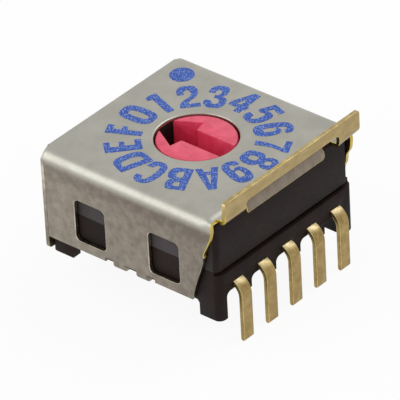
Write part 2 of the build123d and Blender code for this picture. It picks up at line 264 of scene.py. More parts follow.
@dataclass(frozen=True)
class InkFinish(Finish):
    """Pad-printed ink with pinholes, through which the plate shows.

    Attributes:
        pinhole: Spacing of the pinholes, in mm.
        spot: Share of that spacing at which a pinhole's edge starts and ends.
        bare: sRGB hex of the metal seen through them.
    """

    pinhole: float = 0.07
    spot: Pair = (0.13, 0.38)
    bare: str = "#A2B3D2"

    def colour(self, tree: Tree, place: Socket) -> Socket:
        """Puts light spots at the middles of Voronoi cells over the mottled ink.

        Args:
            tree: The material's node tree.
            place: The coordinates that the pattern is read at.

        Returns:
            The colour.
        """
        scale = {"Scale": per_mm(self.pinhole)}
        cells = add_node(tree, "ShaderNodeTexVoronoi", scale, {"Vector": place})
        start, end = self.spot
        values = {"From Min": start, "From Max": end, "To Min": 1.0, "To Max": 0.0}
        spots = add_node(tree, "ShaderNodeMapRange", values, {"Value": cells.outputs["Distance"]})
        links = {0: spots.outputs["Result"], 6: super().colour(tree, place)}
        bare = {7: linear(self.bare)}
        return add_node(tree, "ShaderNodeMix", bare, links, data_type="RGBA").outputs[2]


@dataclass(frozen=True)
class BlendedFinish(Finish):
    """A finish whose colour turns into another one towards the low end of an axis.

    Attributes:
        low: The low end's colour.
        axis: The axis, X, Y or Z.
        start: Where along it the low end's colour stops, in mm.
        stop: Where the finish's own colour is reached, in mm.
        forward_shade: Painted shade, as how far the low end leans to the dark per mm towards -Y.
        band: Painted shade, as how far it leans to the dark in a band just below start.
        band_reach: How far below start the band begins and is full, in mm.
    """

    low: Mottling = Stain("#000000", "#000000")
    axis: str = "Z"
    start: float = 0.0
    stop: float = 1.0
    forward_shade: float = 0.0
    band: float = 0.0
    band_reach: Pair = (0.55, 0.1)

    def colour(self, tree: Tree, place: Socket) -> Socket:
        """Mixes the two colours by a smooth step along the axis.

        Args:
            tree: The material's node tree.
            place: The stretched coordinates of the finish's own colour.

        Returns:
            The colour.
        """
        source = add_node(tree, "ShaderNodeTexCoord").outputs["Object"]
        axes = add_node(tree, "ShaderNodeSeparateXYZ", links={0: source}).outputs
        height = {"Value": axes[self.axis]}
        # Painted shade: a dark band just below start, and a lean to the dark towards -Y
        begins, full = (self.start - reach for reach in self.band_reach)
        values = {"From Min": begins * MM, "From Max": full * MM, "To Max": -self.band}
        smooth = {"interpolation_type": "SMOOTHSTEP"}
        band = add_node(tree, "ShaderNodeMapRange", values, height, **smooth)
        lean = add_node(
            tree,
            "ShaderNodeMath",
            {1: self.forward_shade / MM},
            {0: axes["Y"], 2: band.outputs["Result"]},
            operation="MULTIPLY_ADD",
        )
        values = {"From Min": self.start * MM, "From Max": self.stop * MM}
        share = add_node(tree, "ShaderNodeMapRange", values, height, **smooth)
        links = {
            0: share.outputs["Result"],
            6: self.low.colour(tree, source, lean.outputs[0]),
            7: super().colour(tree, place),
        }
        return add_node(tree, "ShaderNodeMix", links=links, data_type="RGBA").outputs[2]


class Surface(Enum):
    """Every finish on the switch, named for the real one and for any light or shade painted in."""

    # Nickel-plated brass sheet, rolled and satin: soft grey; on the walls warmer, clouded with
    # stains and darker as painted shade, which is deepest under the folds and towards the front
    PLATED = BlendedFinish(
        "nickel_plated_sheet", Mottling("#BAB8AE", "#AFADA3", 1.1), 1.0, (0.36, 0.48), 0.06, 0.0014,
        low=Stain("#9D9488", "#786F65", 0.3, 0.46),
        start=3.48, stop=3.82,
        # Painted shade: the walls darken towards the front and in a band just under the folds
        forward_shade=0.026, band=0.16,
    )
    # The same plating scuffed across by the bending tool: grey-brown and matt
    SCUFFED = Finish(
        "scuffed_nickel_plating", Mottling("#9A8E80", "#7D7266", 0.3, 0.5), 1.0, (0.42, 0.6),
        0.04, 0.002, (1.0, 1.0, 4.0),
    )
    # The sheet's other side, left bare: dull gold with fine specks
    BARE_BRASS = Finish(
        "bare_brass_sheet", Mottling("#B5A072", "#A08C60", 0.22), 1.0, (0.32, 0.46),
        0.04, 0.0016, (2.0, 1.0, 1.0),
    )
    # Sheared edge, torn bright by the press tool, and duller along the top of the lip
    SHEARED = BlendedFinish(
        "sheared_brass_edge", Mottling("#D2BE86", "#AE9966", 0.3), 1.0, (0.26, 0.4), 0.08, 0.001,
        low=Stain("#DDC964", "#B59B50"),
        start=4.1, stop=4.25,
    )
    # Sheared edges of the walls, bare brass painted grey as shade
    SHEARED_PLATED = Finish(
        "sheared_edge_painted_shade", Mottling("#9A9386", "#736B5F", 0.4), 1.0, (0.26, 0.42), 0.08, 0.001,
    )
    # Upright edges of the windows, burnished by the punch and painted pale as a glint
    WINDOW_EDGE = Finish(
        "window_edge_burnish_and_glint", Mottling("#D2CAB9", "#A1988A", 0.4), 1.0, (0.22, 0.36), 0.08, 0.001,
    )
    # Rolled brass strip, tarnished: dull gold drawn along the strip, painted paler over the bends
    # as a highlight
    STRIP = BlendedFinish(
        "rolled_brass_strip", Mottling("#CFC29C", "#B5A57C", 0.2), 1.0, (0.34, 0.5), 0.04, 0.0016,
        low=Stain("#B09863", "#927A4B", 0.25),
        start=1.1, stop=1.36,
    )
    # Softened edges of the strip, painted bright as a highlight along them
    STRIP_EDGE = Finish(
        "strip_edge_painted_highlight", Mottling("#E2DC9C", "#B4A866", 0.3), 1.0, (0.24, 0.4), 0.08, 0.001,
    )
    # Glass-filled nylon moulded in a spark-eroded tool: near-black with a faint sheen
    MOULDED_BLACK = Finish(
        "moulded_black_nylon", Mottling("#211512", "#170F0D", 0.8), 0.0, (0.44, 0.62), 0.06, 0.004,
        specular=0.13,
    )
    # The same nylon on the case's sides, from a smoother tool and painted lighter grey as a sheen,
    # and black at the front
    MOULDED_GREY = BlendedFinish(
        "smooth_nylon_painted_sheen", Mottling("#3A3335", "#2C2728", 0.8), 0.0, (0.36, 0.5), 0.06, 0.003,
        specular=0.25,
        low=Stain("#1C1312", "#120C0B"),
        axis="Y",
        start=-3.0, stop=-2.5,
    )
    # Polyester moulded in a smoother tool: red with a soft gloss
    MOULDED_RED = Finish(
        "moulded_red_polyester", Mottling("#E14564", "#CC2A4C", 0.4), 0.0, (0.28, 0.52), 0.07, 0.003,
        specular=1.0,
    )
    # Pad-printing ink: flat blue with pinholes
    INK = InkFinish(
        "pad_printed_ink", Mottling("#2350A6", "#1C449A", 0.3), 0.0, (0.5, 0.62), 0.05, 0.001
    )
    # Gold-flashed contact strip, punched and smooth
    CONTACT = Finish(
        "gold_flashed_contact", Mottling("#E0BE6C", "#CFAA58"), 1.0, (0.2, 0.32), 0.04, 0.001
    )
    # Bright drawn spring steel
    SPRING = Finish(
        "drawn_spring_steel", Mottling("#C9C9C4", "#B4B4AE"), 1.0, (0.22, 0.36), 0.04, 0.001
    )
    # Nitrile rubber, moulded and matt
    RUBBER = Finish(
        "moulded_nitrile_rubber", Mottling("#242424", "#1A1A1A", 0.5), 0.0, (0.6, 0.8), 0.05, 0.003,
    )

    def material(self) -> bpy.types.Material:
        """The finish's material, built at its first use."""
        return bpy.data.materials.get(self.value.name) or self.value.material()


def unit(rows: np.ndarray) -> np.ndarray:
    """Divides each row by its length, and leaves a row of zeros as it is."""
    return rows / np.maximum(np.linalg.norm(rows, axis=1, keepdims=True), NO_LENGTH)


def arc(middle: Pair, radius: float, start: float, end: float, steps: int) -> np.ndarray:
    """Points on a circular arc, start and end included.

    Args:
        middle: The circle's centre.
        radius: Its radius.
        start: Angle of the first point, in degrees.
        end: Angle of the last point, in degrees.
        steps: Number of segments.

    Returns:
        An array of steps + 1 rows of x and y: the centre plus radius times (cos, sin).
    """
    angle = np.radians(np.linspace(start, end, steps + 1))
    return np.asarray(middle) + radius * np.column_stack([np.cos(angle), np.sin(angle)])


def rounded_box(middle: Pair, size: Pair, corner: float, steps: int = 6) -> np.ndarray:
    """Closed outline of a rectangle whose corners are quarter circles.

    Args:
        middle: The rectangle's middle.
        size: Its sides along x and y.
        corner: Radius of the corners.
        steps: Segments of each corner.

    Returns:
        Rows of x and y, counter-clockwise.
    """
    w, h = size[0] / 2 - corner, size[1] / 2 - corner
    corners = [(w, h, 0), (-w, h, 90), (-w, -h, 180), (w, -h, 270)]
    x, y = middle
    return np.concatenate([arc((x + a, y + b), corner, t, t + 90, steps) for a, b, t in corners])


def inside(points: np.ndarray, loops: Sequence[np.ndarray]) -> np.ndarray:
    """Tells which points lie inside an outline with holes.

    A point is inside where a ray from it along +X crosses the loops an odd number of times.

    Args:
        points: Rows of x and y.
        loops: Closed loops, each as rows of x and y.

    Returns:
        One truth value for each point.
    """
    x, y = points[:, :1], points[:, 1:2]
    hits = np.zeros(len(points), int)
    for loop in loops:
        a, b = loop, np.roll(loop, -1, axis=0)
        straddles = (a[:, 1] > y) != (b[:, 1] > y)
        rise = np.where(b[:, 1] == a[:, 1], 1.0, b[:, 1] - a[:, 1])
        crossing = a[:, 0] + (y - a[:, 1]) * (b[:, 0] - a[:, 0]) / rise
        hits += (straddles & (crossing > x)).sum(axis=1)
    return hits % 2 == 1


def inset(loop: np.ndarray, distance: float | np.ndarray) -> np.ndarray:
    """Moves a closed loop into the material, which lies on its left.

    Each corner moves along the mitre of its two sides' normals.

    Args:
        loop: Rows of x and y.
        distance: How far the sides move, for all the points or for each in a column.

    Returns:
        The moved loop.
    """
    before = unit(loop - np.roll(loop, 1, axis=0))
    after = unit(np.roll(loop, -1, axis=0) - loop)
    first, last = (np.column_stack([side[:, 1], -side[:, 0]]) for side in (before, after))
    outward = unit(first + last)
    spread = np.maximum((outward * first).sum(axis=1, keepdims=True), LEAST_SPREAD)
    return loop - outward * distance / spread


def rounded(loop: Sequence[Sequence[float]], steps: int = 5) -> np.ndarray:
    """Rounds the corners of a closed outline.

    Each point is replaced by a parabola that starts and ends on its two sides, as far from it as
    its third number says, but at most half a side. A point without a third number is on a curve
    and takes half of each side.

    Args:
        loop: Points as x and y, or x, y and the reach of the rounding.
        steps: Number of segments of each parabola.

    Returns:
        Rows of x and y.
    """
    spot = np.array([point[:2] for point in loop], float)
    reach = np.array([point[2] if len(point) > 2 else np.inf for point in loop])[:, None]
    sides = (np.roll(spot, 1, axis=0) - spot, np.roll(spot, -1, axis=0) - spot)
    first, last = (
        spot + side * np.minimum(reach / np.linalg.norm(side, axis=1, keepdims=True), 0.5)
        for side in sides
    )
    share = (np.arange(steps) + 0.5)[None, :, None] / steps
    curve = (1 - share) ** 2 * first[:, None] + 2 * share * (1 - share) * spot[:, None]
    return (curve + share**2 * last[:, None]).reshape(-1, 2)


def triangulate(
    loops: Sequence[np.ndarray], creases: Sequence[tuple[Pair, Pair]] = ()
) -> tuple[np.ndarray, np.ndarray]:
    """Fills closed loops, and the holes among them stay open.

    Args:
        loops: Closed loops, each as rows of x and y.
        creases: Pairs of ends of the lines that the filling must have edges on.

    Returns:
        Rows of x and y, and counter-clockwise triangles.
    """
    points = [*loops, *(np.array(pair) for pair in creases)]
    edges, first = [], 0
    for loop in points:
        count = len(loop)
        number = first + np.arange(count)
        sides = np.column_stack([number, np.roll(number, -1)])
        edges += sides[: count if count > 2 else 1].tolist()
        first += count
    found = delaunay_2d_cdt(np.concatenate(points).tolist(), edges, [], 0, TINY)
    flat = np.array([tuple(v) for v in found[0]])
    triangles = np.array(found[2])
    triangles = triangles[inside(flat[triangles].mean(axis=1), loops)]
    used, triangles = np.unique(triangles, return_inverse=True)
    flat, triangles = flat[used], triangles.reshape(-1, 3)
    a, b, c = (flat[triangles[:, i]] for i in range(3))
    turn = (b - a)[:, 0] * (c - a)[:, 1] - (b - a)[:, 1] * (c - a)[:, 0]
    triangles[turn < 0] = triangles[turn < 0][:, ::-1]
    return flat, triangles


def border_edges(triangles: np.ndarray, count: int) -> np.ndarray:
    """Finds the edges that only one triangle has.

    Args:
        triangles: Corner numbers of the triangles, counter-clockwise.
        count: How many points there are.

    Returns:
        Pairs of point numbers, with the filling on the left of each.
    """
    sides = np.concatenate([triangles[:, [0, 1]], triangles[:, [1, 2]], triangles[:, [2, 0]]])
    key = sides[:, 0] * count + sides[:, 1]
    return sides[~np.isin(key, sides[:, 1] * count + sides[:, 0])]


def smooth_step(value: np.ndarray) -> np.ndarray:
    """Rises from 0 to 1 as 3 t^2 - 2 t^3, where t is the value held between 0 and 1."""
    share = np.clip(value, 0, 1)
    return share**2 * (3 - 2 * share)


def bend(run: np.ndarray, radius: float) -> tuple[np.ndarray, np.ndarray, np.ndarray]:
    """Bends a strip round a quarter circle.

    Before the fold a point stays where it is, across the fold it runs on the circle, and past it
    on the circle's tangent.

    Args:
        run: How far each point lies past the start of the fold, in the flat strip.
        radius: The circle's radius.

    Returns:
        How far each point reaches past the start, how far it drops, and the angle it turns.
    """
    angle = np.clip(run / radius, 0, math.pi / 2)
    reach = np.minimum(run, 0) + radius * np.sin(angle)
    drop = radius * (1 - np.cos(angle)) + np.maximum(run, 0) - angle * radius
    return reach, drop, angle


def mesh_object(
    name: str,
    points: np.ndarray,
    faces: Sequence[Sequence[int]],
    finishes: Sequence[Surface],
    slots: np.ndarray | None = None,
    normals: np.ndarray | None = None,
) -> bpy.types.Object:
    """Makes a mesh piece at the origin from arrays in millimetres.

    Args:
        name: The piece's name.
        points: Rows of x, y and z, in mm.
        faces: Corner numbers of each face, outward by the right-hand rule.
        finishes: The finishes, in slot order.
        slots: Slot number of each face.
        normals: Shading normal of each point. Without it the faces are shaded flat.

    Returns:
        The object, linked to the scene.
    """
    mesh = bpy.data.meshes.new(name)
    mesh.from_pydata((points * MM).tolist(), [], faces)
    for surface in finishes:
        mesh.materials.append(surface.material())
    if slots is not None:
        mesh.polygons.foreach_set("material_index", slots.astype(np.int32))
    smooth = normals is not None
    mesh.polygons.foreach_set("use_smooth", np.full(len(mesh.polygons), smooth))
    mesh.update()
    if smooth:
        mesh.normals_split_custom_set_from_vertices(normals.tolist())
    return place_object(name, mesh)


@dataclass
class Cover:
    """The folded sheet cover, made as one flat blank that is then folded.

    The blank lies in the plane of s, which runs across the plate and down the side walls, and y.
    Sizes are in mm, as in the part's source.
    """

    half_width: float = 3.675
    front: float = 3.675
    back: float = 3.77
    top: float = PLATE_TOP
    sheet: float = 0.15
    side_fold: float = 0.42
    back_fold: float = 0.12
    wall_bottom: float = 0.655
    slit: float = 0.01  # half the cut between a side fold and its neighbours
    # The back wall: its foot, the ends set in behind the side walls, and their shoulders
    back_bottom: float = 0.125
    back_end: float = 3.64
    back_corner: float = 0.15
    shoulder_from: float = 62.0  # in degrees
    rear_gap: float = 0.03  # from the back wall's face to the side folds' ends
    seam: float = 0.18  # and to the side walls
    # The rotor's hole, and the windows' width, height, corners and middles
    hole_radius: float = 1.447
    window: Triple = (1.31, 1.60, 0.18)
    window_middle: float = 1.83
    window_y: Pair = (-1.54, 1.68)
    # The walls' front edges, as heights and places along y, from the foot up
    left_cheek: tuple[Pair, ...] = (
        (0.655, -2.71), (1.26, -2.88), (1.89, -3.11), (2.30, -3.25), (2.49, -3.27),
        (2.55, -3.34), (2.61, -3.29), (2.70, -3.31), (3.05, -3.48), (3.33, -3.60),
    )
    right_cheek: tuple[Pair, ...] = (
        (0.655, -2.80), (2.30, -3.36), (2.53, -3.46), (2.80, -3.49), (2.90, -3.53),
        (3.00, -3.60), (3.13, -3.66), (3.30, -3.69), (3.50, -3.70),
    )
    gold_above: Pair = (2.55, 1.9)  # left and right heights below which edges get painted shade
    # The clinch tabs: where along y, the notches beside them, and how they turn in
    tab: Pair = (0.26, 0.74)
    tab_relief: Pair = (1.07, 0.805)
    tab_bend: float = 0.20
    tab_face: float = 0.50
    tab_end: float = 0.35
    # The lip, and the opening in it
    lip_left: float = 3.31
    lip_face: float = 4.01
    lip_bend: float = 0.17
    lip_top: float = 4.73
    lip_corner: float = 0.12
    opening_x: float = 0.1825
    opening_half: float = 2.415
    opening_top: float = 4.29
    opening_corner: float = 0.18
    # The tongue, which is drawn shorter in the blank by its packing
    relief: float = 0.18
    tongue_half: float = 2.02
    tongue_face: float = 3.84
    tongue_bend: float = 0.33
    tongue_bottom: float = 3.59
    tongue_corner: float = 0.1
    tongue_packing: float = 0.6
    # How far the plate's front edge is dragged down, and how much further in a curl at the
    # opening's right end, as its half width and the places along y where it starts and stops
    dip: float = 0.06
    dip_from: float = 3.40
    curl: float = 0.13
    curl_reach: Triple = (0.30, 3.50, 3.95)
    curl_fade: float = 0.15
    # Rounding of the side folds' rear ends: its radius, how much of it is used, where the fold
    # has turned too far for it, and how soon it fades down the fold
    rear_round: float = 0.15
    rear_share: float = 0.96
    rear_least_up: float = 0.02
    rear_fade: float = 1.6
    tight: float = 0.10  # how far the side folds bulge at their sharper front ends
    tight_length: float = 0.5
    # Rounding that the press leaves on the outer edges, and the burr on the inner ones
    roll: float = 0.025
    hole_roll: float = 0.055
    window_roll: float = 0.03
    slit_roll: float = 0.008
    burr: float = 0.012
    short_step: float = 1e-4  # for the edges' directions
    roll_angles: tuple[float, ...] = (25.0, 50.0, 70.0, 90.0)  # in degrees
    least_lean: float = 0.3  # share of the edge's own direction in every edge's shading
    # Which edges count as the hole's, a window's and its corners', a slit's (across and along
    # it), the bare front's and the lip's, as distances or a place along y
    hole_reach: float = 0.3
    window_reach: float = 0.1
    window_inset: float = 0.04
    slit_reach: Pair = (0.08, 0.05)
    bare_before: float = -2.6
    lip_reach: float = 0.1
    # Facets round a quarter fold, a small corner, the tongue's corner and the hole
    steps: int = 10
    corner_steps: int = 5
    tongue_steps: int = 4
    hole_steps: int = 120
    # How far creases keep from the front edges and slits, and from the rear edges
    crease_clear: Pair = (0.05, 0.03)
    finishes: tuple[Surface, ...] = (
        Surface.PLATED, Surface.BARE_BRASS, Surface.SHEARED, Surface.SHEARED_PLATED,
        Surface.SCUFFED, Surface.WINDOW_EDGE,
    )

    @property
    def flat(self) -> float:
        """Half width of the plate's flat part."""
        return self.half_width - self.side_fold

    @property
    def fold_end(self) -> float:
        """Where, along s, the side folds end and the walls begin."""
        return self.flat + self.side_fold * math.pi / 2

    @property
    def fold_back(self) -> float:
        """Where, along y, the side folds end."""
        return self.back - self.rear_gap

    @property
    def rear(self) -> float:
        """Where, along y, the fold to the back wall starts."""
        return self.back - self.back_fold

    @property
    def tab_start(self) -> float:
        """Where, along s, the clinch tabs leave the wall's plane."""
        return self.at_height(self.tab_face + self.tab_bend)

    @property
    def lip_start(self) -> float:
        """How far before the rotor's axis the lip starts to turn up."""
        return self.lip_face - self.lip_bend

    @property
    def lip_inner(self) -> float:
        """Radius of the lip's bend on the plated side."""
        return self.lip_bend - self.sheet

    @property
    def opening_ends(self) -> Pair:
        """Where, along s, the opening starts and stops."""
        return self.opening_x - self.opening_half, self.opening_x + self.opening_half

    @property
    def tongue_root(self) -> float:
        """Where, along y, the tongue leaves the plate."""
        return self.relief - self.front

    @property
    def tongue_flat(self) -> float:
        """Length of the tongue before it turns down."""
        return self.tongue_face - self.tongue_bend + self.tongue_root

    @property
    def tongue_tip(self) -> float:
        """Where, along y, the tongue ends in the blank."""
        turn = self.tongue_bend * math.pi / 2 + self.top - self.tongue_bend - self.tongue_bottom
        return self.tongue_root - (self.tongue_flat + turn) * self.tongue_packing

    def at_height(self, z: float) -> float:
        """Place along s of the height z on a side wall."""
        return self.fold_end + self.top - self.side_fold - z

    def lip_path(self, z: float) -> float:
        """Place along y, in the blank, of the height z on the lip."""
        bend_length = self.lip_inner * math.pi / 2
        return -self.lip_start - bend_length - (z - self.top - self.lip_inner)

    def back_path(self, z: float | np.ndarray) -> float | np.ndarray:
        """Place along y, in the blank, of the height z on the back wall."""
        return self.rear + self.back_fold * math.pi / 2 + self.top - self.back_fold - z

    def side_outline(self, cheek: Sequence[Pair]) -> np.ndarray:
        """Outlines the blank's right-hand side, from the plate's front to its back.

        Args:
            cheek: The wall's front edge, as heights and places along y.

        Returns:
            Rows of s and y.
        """
        low, high = self.tab
        relief, notch = self.tab_relief[0], self.at_height(self.tab_relief[1])
        bottom = self.at_height(self.wall_bottom)
        tip = self.tab_start + self.tab_bend * math.pi / 2 + self.tab_end
        points = [(self.at_height(z), y) for z, y in reversed(cheek)]
        points += [(bottom, -relief), (notch, -relief)]
        for first, last in ((-high, -low), (low, high)):
            points += [(notch, first), (tip, first), (tip, last), (notch, last)]
        points += [(notch, relief), (bottom, relief), (bottom, self.back - self.seam)]
        points += [(self.fold_end, self.back - self.seam), (self.fold_end, self.fold_back)]
        return np.array(points)

    def back_outline(self) -> np.ndarray:
        """Outlines the back wall's right-hand side, from its fold down to its lower corner.

        Returns:
            Rows of s and y.
        """
        inner = self.side_fold - self.sheet - self.slit
        height = self.top - self.side_fold
        shoulder = arc((self.flat, height), inner, self.shoulder_from, 0, self.corner_steps)
        shoulder[:, 1] = self.back_path(shoulder[:, 1])
        start = [(self.flat + self.slit, self.fold_back), (self.flat + self.slit, self.rear)]
        start += [(self.flat - self.slit, self.rear)]
        below = [(self.back_end, self.back_path(height - self.rear_gap))]
        corner, foot = self.back_corner, self.back_path(self.back_bottom)
        foot_arc = arc((self.back_end - corner, foot - corner), corner, 0, 90, self.corner_steps)
        return np.concatenate([start, shoulder, below, foot_arc])

    def outline(self) -> np.ndarray:
        """Joins the lip, the sides and the back wall to the blank's whole outer loop.

        Returns:
            Rows of s and y, counter-clockwise.
        """
        top, corner, steps = self.lip_path(self.lip_top), self.lip_corner, self.corner_steps
        lip = [arc((-self.lip_left + corner, top + corner), corner, 180, 270, steps)]
        lip += [arc((self.half_width - corner, top + corner), corner, 270, 360, steps)]
        cut = -self.front - self.slit
        right_join = [(self.half_width, cut), (self.flat, cut), (self.flat, -self.front)]
        right_join += [(self.fold_end, -self.front)]
        left_join = [(-self.fold_end, -self.front), (-self.lip_left, -self.front)]
        right, left = self.side_outline(self.right_cheek), self.side_outline(self.left_cheek)
        back, mirror = self.back_outline(), np.array([-1, 1])
        rear = [right, back, (back * mirror)[::-1], (left * mirror)[::-1]]
        return np.concatenate([*lip, right_join, *rear, left_join])

    def opening(self) -> np.ndarray:
        """Outlines the opening under the bridge, with the tongue standing into it.

        Returns:
            Rows of s and y, clockwise.
        """
        start, stop = self.opening_ends
        tongue, corner, end = self.tongue_half, self.opening_corner, self.tongue_corner
        low, tip, edge = self.lip_path(self.opening_top), self.tongue_tip, self.tongue_root
        return np.concatenate(
            [
                arc((start + corner, low + corner), corner, 270, 180, self.corner_steps),
                [(start, edge), (-tongue, edge)],
                arc((-tongue + end, tip + end), end, -180, -90, self.tongue_steps),
                arc((tongue - end, tip + end), end, -90, 0, self.tongue_steps),
                [(tongue, edge), (stop, edge)],
                arc((stop - corner, low + corner), corner, 360, 270, self.corner_steps),
            ]
        )

    def holes(self) -> list[np.ndarray]:
        """Outlines every hole of the blank: the rotor's, the opening and the windows.

        Returns:
            Closed clockwise loops of s and y.
        """
        width, height, corner = self.window
        loops = [arc((0, 0), self.hole_radius, 0, 360, self.hole_steps)[:-1], self.opening()[::-1]]
        for side in (-1, 1):
            middle = side * self.at_height(self.window_middle)
            loops += [rounded_box((middle, y), (height, width), corner) for y in self.window_y]
        return [loop[::-1] for loop in loops]

    def creases(self) -> list[tuple[Pair, Pair]]:
        """Lays lines across each fold, on which the flat blank must have edges.

        Returns:
            The ends of each line.
        """
        share = np.linspace(0, 1, self.steps + 1)
        quarter = share * math.pi / 2
        low, high = self.tab
        lines = []
        for side in (-1, 1):
            for s in side * (self.flat + quarter * self.side_fold):
                lines.append(((s, -self.front), (s, self.fold_back)))
            for s in side * (self.tab_start + quarter * self.tab_bend):
                lines += [((s, low), (s, high)), ((s, -high), (s, -low))]
        clear, rear_clear = self.crease_clear
        end, inner = self.fold_end, self.flat + clear
        start, stop = self.opening_ends
        sides = [(-end, -self.flat), (self.flat, end)]
        bent = self.tongue_flat + quarter * self.tongue_bend
        rows = [
            (-self.dip_from - share * (self.front - self.dip_from), [(-end, end)]),
            (clear - self.front + share * self.tight_length, sides),
            (
                self.fold_back - self.rear_round + share * (self.rear_round - rear_clear),
                [(-end, -inner), (inner, end)],
            ),
            (self.rear + quarter * self.back_fold, [(-self.flat, self.flat)]),
            (
                -self.lip_start - quarter * self.lip_inner,
                [(-self.lip_left, start), (stop, self.half_width)],
            ),
            (
                self.tongue_root - bent * self.tongue_packing,
                [(-self.tongue_half, self.tongue_half)],
            ),
        ]
        for places, spans in rows:
            lines += [((a, y), (b, y)) for y in places for a, b in spans]
        return lines

    def fold(self, blank: np.ndarray, depth: float | np.ndarray) -> tuple[np.ndarray, np.ndarray]:
        """Folds the blank.

        Args:
            blank: Rows of s and y.
            depth: How deep in the sheet the points lie, from the plated side.

        Returns:
            The folded points, and the plated side's normal at each.
        """
        s, y = blank.T
        place = np.column_stack([s, y, np.full(len(s), self.top)])
        normal = np.tile([0.0, 0.0, 1.0], (len(s), 1))
        on_tongue = (np.abs(s) <= self.tongue_half + TINY) & (y < self.tongue_root + TINY)
        on_tongue &= y > self.tongue_tip - TINY
        on_lip = (y < -self.front - self.slit / 2) & ~on_tongue
        on_back = (y > self.rear) & (np.abs(s) <= self.flat + TINY)
        on_back |= y > self.back + self.slit / 10
        on_side = ~(on_tongue | on_lip | on_back) & (np.abs(s) > self.flat)
        sideways = np.column_stack([np.sign(s), np.zeros(len(s)), np.zeros(len(s))])
        tongue_start = self.tongue_flat - self.tongue_root
        tongue_run = (self.tongue_root - y) / self.tongue_packing - self.tongue_flat
        ahead, behind = (0.0, -1.0, 0.0), (0.0, 1.0, 0.0)
        for chosen, run, out, start, radius, way in (
            (on_side, np.abs(s) - self.flat, sideways, self.flat, self.side_fold, -1),
            (on_back, y - self.rear, behind, self.rear, self.back_fold, -1),
            (on_lip, -y - self.lip_start, ahead, self.lip_start, self.lip_inner, 1),
            (on_tongue, tongue_run, ahead, tongue_start, self.tongue_bend, -1),
        ):
            reach, drop, angle = bend(run[chosen], radius)
            outward = np.broadcast_to(out, place.shape)[chosen]
            place[chosen] *= 1 - np.abs(outward)
            place[chosen] += outward * (start + reach)[:, None]
            place[chosen, 2] = self.top + way * drop
            normal[chosen] = outward * (-way * np.sin(angle))[:, None]
            normal[chosen, 2] = np.cos(angle)
        # The clinch tabs turn inward below the walls
        on_tab = on_side & (np.abs(s) > self.tab_start) & (np.abs(y) < self.tab[1] + TINY)
        reach, drop, angle = bend(np.abs(s[on_tab]) - self.tab_start, self.tab_bend)
        way = np.sign(s[on_tab])
        place[on_tab, 0] = way * (self.half_width - drop)
        place[on_tab, 2] = self.tab_face + self.tab_bend - reach
        normal[on_tab] = np.column_stack([way * np.cos(angle), np.zeros(len(way)), -np.sin(angle)])
        self.drag_down(place, normal, ~on_tongue)
        return place - normal * np.reshape(depth, (-1, 1)), normal

    def drag_down(self, place: np.ndarray, normal: np.ndarray, chosen: np.ndarray) -> None:
        """Drags the plate's front edge down and shapes the side folds' ends.

        The drop rises as a smooth step towards the front, and with it the curl as a bell, times
        the normal's share of Z. The front ends bulge along the normal by the square of the sine
        of twice the fold's angle, and the rear ends turn inward on a quarter circle, which fades
        down the fold.

        Args:
            place: The folded points, changed in place.
            normal: The plated side's normals, changed in place.
            chosen: The points that belong to the plate and its folds.
        """
        spot, lean = place[chosen], normal[chosen]
        side, up = lean[:, 0].copy(), lean[:, 2].copy()
        ahead = -spot[:, 1]
        length = self.front - self.dip_from
        share = np.clip((ahead - self.dip_from) / length, 0, 1)
        width, start, stop = self.curl_reach
        curl = smooth_step((ahead - start) / self.curl_fade)
        curl *= smooth_step((stop - ahead) / self.curl_fade)
        away = (spot[:, 0] - self.opening_ends[1]) / width
        drop = self.dip * smooth_step(share) + self.curl * curl * np.exp(-(away**2))
        spot[:, 2] -= drop * up
        folded = np.abs(side) > TINY
        angle = np.arctan2(np.abs(side), up)
        fade = 1 - smooth_step((self.front - ahead) / self.tight_length)
        fade = np.where(folded & (ahead > 0) & (up > -TINY), fade, 0.0)
        spot += lean * (self.tight * fade * np.sin(2 * angle) ** 2)[:, None]
        spot[:, 0] = np.clip(spot[:, 0], -self.half_width, self.half_width)
        spot[:, 2] = np.where(fade > 0, np.minimum(spot[:, 2], self.top), spot[:, 2])
        turned = angle - 2 * self.tight / self.side_fold * fade * np.sin(4 * angle)
        tight = np.column_stack([np.sign(side) * np.sin(turned), lean[:, 1], np.cos(turned)])
        reach = (spot[:, 1] - self.fold_back) / self.rear_round + 1
        turns = folded & (up > self.rear_least_up)
        reach = np.where(turns, np.clip(reach, 0, self.rear_share), 0.0)
        held = smooth_step(self.rear_fade * up)
        spot -= lean * (self.rear_round * (1 - np.sqrt(1 - reach**2)) * held)[:, None]
        lean = np.where(fade[:, None] > 0, tight, lean)
        lean[:, 1] += reach * held - self.dip / length * 6 * share * (1 - share) * up
        place[chosen], normal[chosen] = spot, unit(lean)

    def near_hole(self, flat: np.ndarray) -> np.ndarray:
        """Tells which points of the blank lie round the rotor's hole."""
        return np.hypot(*flat.T) < self.hole_radius + self.hole_reach

    def roll_at(self, flat: np.ndarray) -> np.ndarray:
        """Chooses how far the sheet's edges are rounded.

        Args:
            flat: Rows of s and y on the edges.

        Returns:
            The rounding, which is broad round the rotor's hole and least at the slits.
        """
        s, y = np.abs(flat[:, 0]), flat[:, 1]
        half = self.window[1] / 2
        low, high = self.window_y
        beside = np.abs(np.abs(y - (low + high) / 2) - (high - low) / 2)
        window = np.abs(s - self.at_height(self.window_middle)) < half + self.window_reach
        window &= beside < half - self.window_inset
        across, along = self.slit_reach
        slit = (np.abs(s - self.flat) < across) & (y > self.rear - along)
        sizes = [self.hole_roll, self.window_roll, self.slit_roll]
        return np.select([self.near_hole(flat), window, slit], sizes, self.roll)

